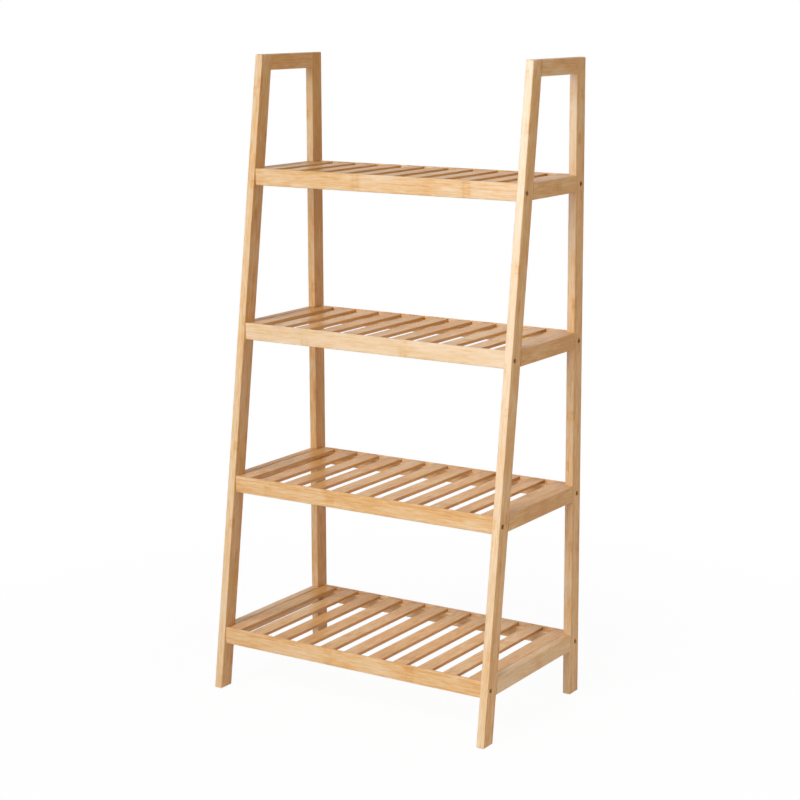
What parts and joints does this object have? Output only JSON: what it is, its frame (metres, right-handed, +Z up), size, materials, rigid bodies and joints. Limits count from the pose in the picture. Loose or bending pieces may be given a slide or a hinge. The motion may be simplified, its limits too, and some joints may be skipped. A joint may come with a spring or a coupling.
{
  "type": "shelving unit",
  "caption": "Free-standing slatted ladder shelf in pale bamboo: leaning front legs, upright rear legs, and open slatted shelves that get shallower towards the top.",
  "frame": {"origin": "on the floor, under the middle of the base's width and depth", "axes": "+X to the right along the width as seen from the front, -Y towards the viewer in front, +Z up"},
  "size_m": [0.6, 0.3547, 1.2],
  "materials": {
    "bamboo_frame": "satin lacquered bamboo",
    "bamboo_rail": "satin lacquered bamboo",
    "bamboo_slat": "satin lacquered bamboo",
    "dark_steel": "black oxide",
    "zinc_steel": "zinc plated",
    "beech_dowel": "unfinished beech"
  },
  "bodies": {
    "root": {"left_front_leg": "bamboo_frame", "left_rear_leg": "bamboo_frame", "left_top_rail": "bamboo_frame", "left_side_rail_1": "bamboo_frame", "left_side_rail_2": "bamboo_frame", "left_side_rail_3": "bamboo_frame", "left_side_rail_4": "bamboo_frame", "right_front_leg": "bamboo_frame", "right_rear_leg": "bamboo_frame", "right_top_rail": "bamboo_frame", "right_side_rail_1": "bamboo_frame", "right_side_rail_2": "bamboo_frame", "right_side_rail_3": "bamboo_frame", "right_side_rail_4": "bamboo_frame", "shelf_1_front_rail": "bamboo_rail", "shelf_1_rear_rail": "bamboo_rail", "shelf_1_slats_1_2": "bamboo_slat", "shelf_1_slats_3_4": "bamboo_slat", "shelf_1_slats_5_6": "bamboo_slat", "shelf_1_slats_7_8": "bamboo_slat", "shelf_1_slats_9_10": "bamboo_slat", "shelf_1_slat_11": "bamboo_slat", "shelf_2_front_rail": "bamboo_rail", "shelf_2_rear_rail": "bamboo_rail", "shelf_2_slats_1_2": "bamboo_slat", "shelf_2_slats_3_4": "bamboo_slat", "shelf_2_slats_5_6": "bamboo_slat", "shelf_2_slats_7_8": "bamboo_slat", "shelf_2_slats_9_10": "bamboo_slat", "shelf_2_slat_11": "bamboo_slat", "shelf_3_front_rail": "bamboo_rail", "shelf_3_rear_rail": "bamboo_rail", "shelf_3_slats_1_2": "bamboo_slat", "shelf_3_slats_3_4": "bamboo_slat", "shelf_3_slats_5_6": "bamboo_slat", "shelf_3_slats_7_8": "bamboo_slat", "shelf_3_slats_9_10": "bamboo_slat", "shelf_3_slat_11": "bamboo_slat", "shelf_4_front_rail": "bamboo_rail", "shelf_4_rear_rail": "bamboo_rail", "shelf_4_slats_1_2": "bamboo_slat", "shelf_4_slats_3_4": "bamboo_slat", "shelf_4_slats_5_6": "bamboo_slat", "shelf_4_slats_7_8": "bamboo_slat", "shelf_4_slats_9_10": "bamboo_slat", "shelf_4_slat_11": "bamboo_slat", "bolts": "dark_steel", "barrel_nuts": "zinc_steel", "side_rail_dowels": "beech_dowel", "top_rail_dowels": "beech_dowel"}
  },
  "joints": []
}
